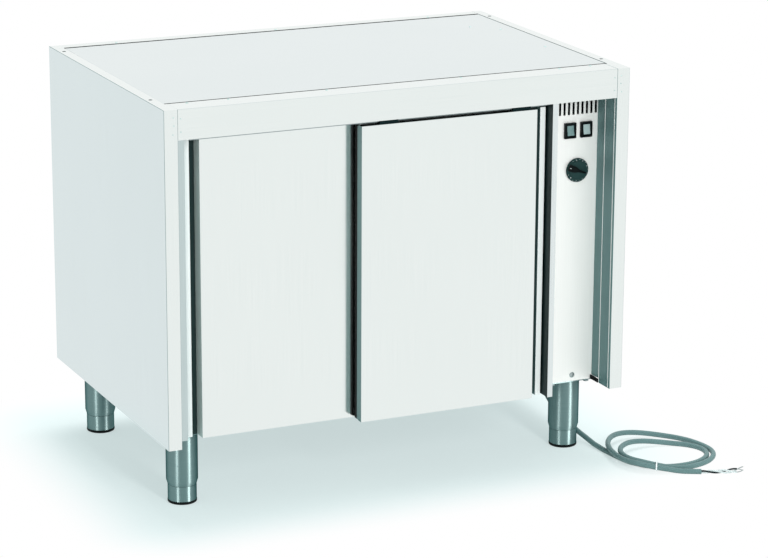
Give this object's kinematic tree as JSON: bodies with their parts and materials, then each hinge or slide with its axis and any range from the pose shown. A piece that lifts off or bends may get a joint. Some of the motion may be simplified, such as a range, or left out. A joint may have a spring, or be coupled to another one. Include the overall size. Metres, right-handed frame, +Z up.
{
  "type": "hot cupboard",
  "caption": "Free-standing stainless hot cupboard with overlapping sliding doors, a recessed control bay, a heated chamber with a shelf, and adjustable legs.",
  "frame": {"origin": "on the floor under the middle of the cabinet", "axes": "+X to the right seen from the front, +Y from the front to the rear, +Z up"},
  "size_m": [1.1908, 0.8822, 0.8262],
  "materials": {
    "stainless": "fine brushed stainless sheet",
    "stainless_fittings": "satin stainless",
    "zinc_plated": "dull zinc plate",
    "mineral_wool": "loose fibre slab",
    "pale_nylon": "moulded nylon",
    "black_plastic": "moulded black plastic",
    "dark_rocker": "moulded dark grey plastic",
    "pale_rocker": "moulded mid grey plastic",
    "black_rubber": "matt black rubber",
    "grey_sheath": "matt grey flexible sheath",
    "white_tie": "moulded white plastic",
    "core_insulation": "thin plastic core insulation"
  },
  "bodies": {
    "cabinet": {"left_side_panel": "stainless", "right_side_panel": "stainless", "fascia": "stainless", "rear_panel": "stainless", "roof_panel": "stainless", "left_liner": "stainless", "rear_liner": "stainless", "ceiling": "stainless", "chamber_floor": "stainless", "control_panel": "stainless", "roof_rivets": "stainless_fittings", "left_jamb": "stainless_fittings", "partition": "stainless_fittings", "shelf_brackets": "stainless_fittings", "panel_screw": "stainless_fittings", "thermostat_bulb": "stainless_fittings", "heater_ring": "stainless_fittings", "leg_front_left": "stainless_fittings", "leg_front_right": "stainless_fittings", "leg_rear_left": "stainless_fittings", "leg_rear_right": "stainless_fittings", "base_pan": "zinc_plated", "door_track": "zinc_plated", "heater_box": "zinc_plated", "fan_motor": "zinc_plated", "leg_bolts": "zinc_plated", "insulation": "mineral_wool", "door_guide": "pale_nylon", "thermostat": "pale_nylon", "terminal_block": "pale_nylon", "left_switch": "black_plastic", "right_switch": "black_plastic", "cord_gland": "black_plastic", "cord_lead": "grey_sheath", "cord_coil": "grey_sheath", "cord_tie": "white_tie", "cord_cores": "core_insulation"},
    "left_door": {"left_door_skin": "stainless", "left_door_liner": "stainless_fittings", "left_door_hangers": "zinc_plated"},
    "right_door": {"right_door_skin": "stainless", "right_door_liner": "stainless_fittings", "right_door_hangers": "zinc_plated"},
    "left_roller_outer": {"left_roller_outer": "pale_nylon"},
    "left_roller_inner": {"left_roller_inner": "pale_nylon"},
    "right_roller_outer": {"right_roller_outer": "pale_nylon"},
    "right_roller_inner": {"right_roller_inner": "pale_nylon"},
    "left_rocker": {"left_rocker": "dark_rocker"},
    "right_rocker": {"right_rocker": "pale_rocker"},
    "knob": {"knob": "black_plastic"},
    "shelf": {"shelf": "stainless"},
    "fan": {"fan_impeller": "stainless"},
    "foot_front_left": {"foot_front_left": "stainless_fittings", "pad_front_left": "black_rubber"},
    "foot_front_right": {"foot_front_right": "stainless_fittings", "pad_front_right": "black_rubber"},
    "foot_rear_left": {"foot_rear_left": "stainless_fittings", "pad_rear_left": "black_rubber"},
    "foot_rear_right": {"foot_rear_right": "stainless_fittings", "pad_rear_right": "black_rubber"}
  },
  "joints": [
    {"name": "left_door_slide", "type": "slide", "parent": "cabinet", "child": "left_door", "axis": [1, 0, 0], "range_m": [0, 0.35]},
    {"name": "right_door_slide", "type": "slide", "parent": "cabinet", "child": "right_door", "axis": [1, 0, 0], "range_m": [-0.35, 0]},
    {"name": "left_roller_outer_turn", "type": "hinge", "parent": "left_door", "child": "left_roller_outer", "pos_m": [-0.378, -0.273, 0.7733], "axis": [0, 1, 0], "range_deg": [0, 1680]},
    {"name": "left_roller_inner_turn", "type": "hinge", "parent": "left_door", "child": "left_roller_inner", "pos_m": [-0.087, -0.273, 0.7733], "axis": [0, 1, 0], "range_deg": [0, 1680]},
    {"name": "right_roller_outer_turn", "type": "hinge", "parent": "right_door", "child": "right_roller_outer", "pos_m": [0.264, -0.311, 0.7733], "axis": [0, 1, 0], "range_deg": [-1680, 0]},
    {"name": "right_roller_inner_turn", "type": "hinge", "parent": "right_door", "child": "right_roller_inner", "pos_m": [-0.027, -0.311, 0.7733], "axis": [0, 1, 0], "range_deg": [-1680, 0]},
    {"name": "left_rocker_tilt", "type": "hinge", "parent": "cabinet", "child": "left_rocker", "pos_m": [0.4085, -0.255, 0.687], "axis": [1, 0, 0], "range_deg": [0, 16]},
    {"name": "right_rocker_tilt", "type": "hinge", "parent": "cabinet", "child": "right_rocker", "pos_m": [0.4455, -0.255, 0.687], "axis": [1, 0, 0], "range_deg": [0, 16]},
    {"name": "knob_turn", "type": "hinge", "parent": "cabinet", "child": "knob", "pos_m": [0.427, -0.255, 0.603], "axis": [0, 1, 0], "range_deg": [0, 300]},
    {"name": "fan_spin", "type": "hinge", "parent": "cabinet", "child": "fan", "pos_m": [0.37, 0.07, 0.45], "axis": [1, 0, 0], "continuous": true},
    {"name": "foot_front_left_screw", "type": "slide", "parent": "cabinet", "child": "foot_front_left", "axis": [0, 0, -1], "range_m": [0, 0.045]},
    {"name": "foot_front_right_screw", "type": "slide", "parent": "cabinet", "child": "foot_front_right", "axis": [0, 0, -1], "range_m": [0, 0.045]},
    {"name": "foot_rear_left_screw", "type": "slide", "parent": "cabinet", "child": "foot_rear_left", "axis": [0, 0, -1], "range_m": [0, 0.045]},
    {"name": "foot_rear_right_screw", "type": "slide", "parent": "cabinet", "child": "foot_rear_right", "axis": [0, 0, -1], "range_m": [0, 0.045]},
    {"name": "shelf_lift", "type": "slide", "parent": "cabinet", "child": "shelf", "axis": [0, 0, 1], "range_m": [0, 0.04]}
  ],
  "couplings": [
    {"joint": "left_roller_outer_turn", "follows": "left_door_slide", "rad_per_m": 83.333},
    {"joint": "left_roller_inner_turn", "follows": "left_door_slide", "rad_per_m": 83.333},
    {"joint": "right_roller_outer_turn", "follows": "right_door_slide", "rad_per_m": 83.333},
    {"joint": "right_roller_inner_turn", "follows": "right_door_slide", "rad_per_m": 83.333}
  ]
}
